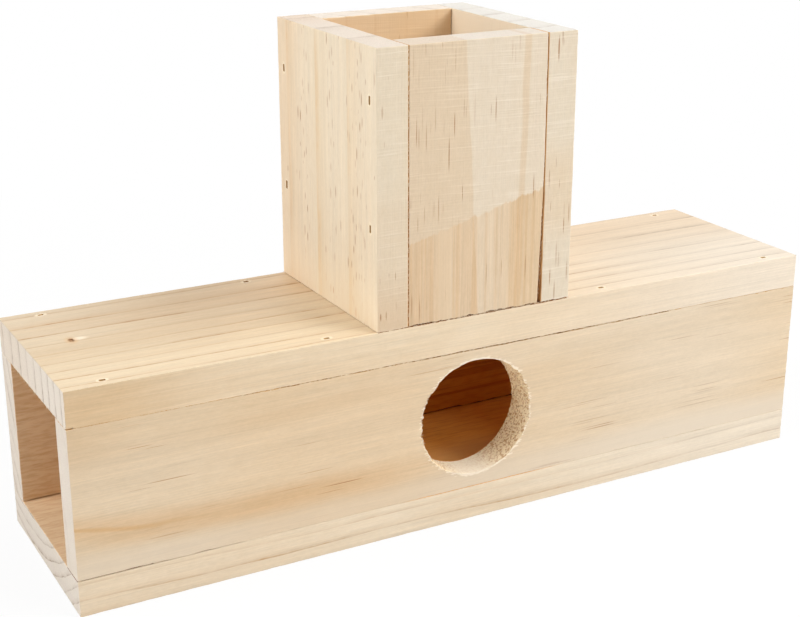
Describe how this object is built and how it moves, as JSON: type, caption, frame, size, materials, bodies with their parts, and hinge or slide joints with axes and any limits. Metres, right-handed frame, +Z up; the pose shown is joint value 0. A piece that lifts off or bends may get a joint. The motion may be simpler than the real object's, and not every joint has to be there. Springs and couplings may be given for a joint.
{
  "type": "wooden rodent tunnel",
  "caption": "Square pine tunnel open at its ends, with a round entry hole in the front and an open square chimney on top, for small pet rodents to run and climb through.",
  "frame": {"origin": "middle of the underside of the floor board", "axes": "+X along the tunnel, -Y out of the front face that has the entry hole, +Z up through the chimney"},
  "size_m": [0.3, 0.078, 0.178],
  "materials": {
    "pine": "raw sawn and planed pale pine, unsealed",
    "brad_steel": "bright drawn steel wire"
  },
  "bodies": {
    "root": {"top_board": "pine", "bottom_board": "pine", "front_board": "pine", "back_board": "pine", "chimney_left_board": "pine", "chimney_right_board": "pine", "chimney_front_board": "pine", "chimney_back_board": "pine", "top_front_brads": "brad_steel", "top_back_brads": "brad_steel", "bottom_front_brads": "brad_steel", "bottom_back_brads": "brad_steel", "chimney_left_front_brads": "brad_steel", "chimney_left_back_brads": "brad_steel", "chimney_right_front_brads": "brad_steel", "chimney_right_back_brads": "brad_steel", "chimney_foot_left_brads": "brad_steel", "chimney_foot_right_brads": "brad_steel"}
  },
  "joints": []
}
